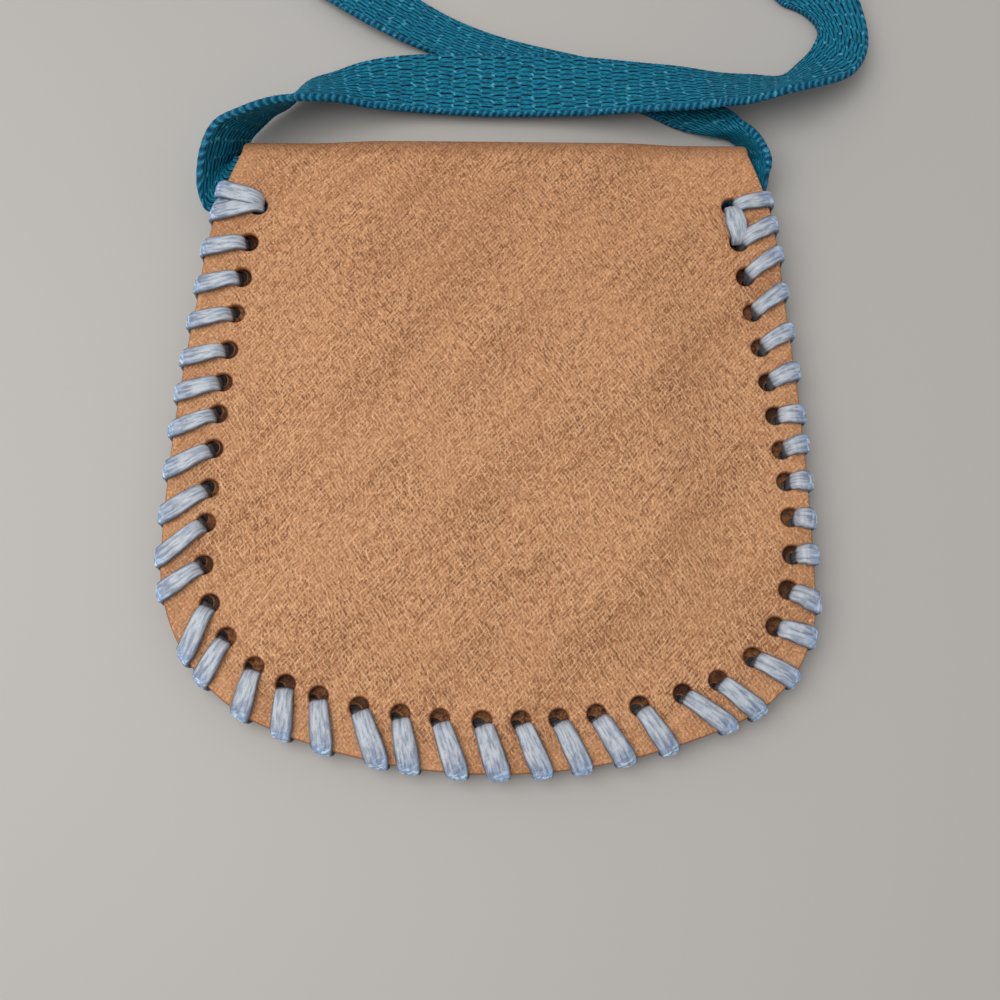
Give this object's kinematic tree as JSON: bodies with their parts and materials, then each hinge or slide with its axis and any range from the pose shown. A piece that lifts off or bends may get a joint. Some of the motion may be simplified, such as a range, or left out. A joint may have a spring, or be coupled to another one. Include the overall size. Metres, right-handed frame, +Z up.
{
  "type": "small leather purse",
  "caption": "Small flat leather purse with a rounded bottom and a fold-over flap, edge-laced with satin cord through punched holes, on a narrow woven shoulder strap, lying on its front.",
  "frame": {"origin": "on the surface the purse lies on, under the middle of its box without the strap", "axes": "+Z up through the thickness, +Y from the rounded bottom to the fold, +X to the right seen from above"},
  "size_m": [0.2034, 0.3623, 0.0169],
  "materials": {
    "leather": "natural tan, matt with a fine grain",
    "lace": "light blue satin",
    "webbing": "teal woven ribs"
  },
  "bodies": {
    "pouch": {"back_panel": "leather", "front_panel": "leather", "edge_lace": "lace", "strap": "webbing"},
    "flap": {"flap": "leather"}
  },
  "joints": [
    {"name": "flap_fold", "type": "hinge", "parent": "pouch", "child": "flap", "pos_m": [0.00134, 0.06855, 0.0044], "axis": [1, 0, 0], "range_deg": [0, 100]}
  ]
}
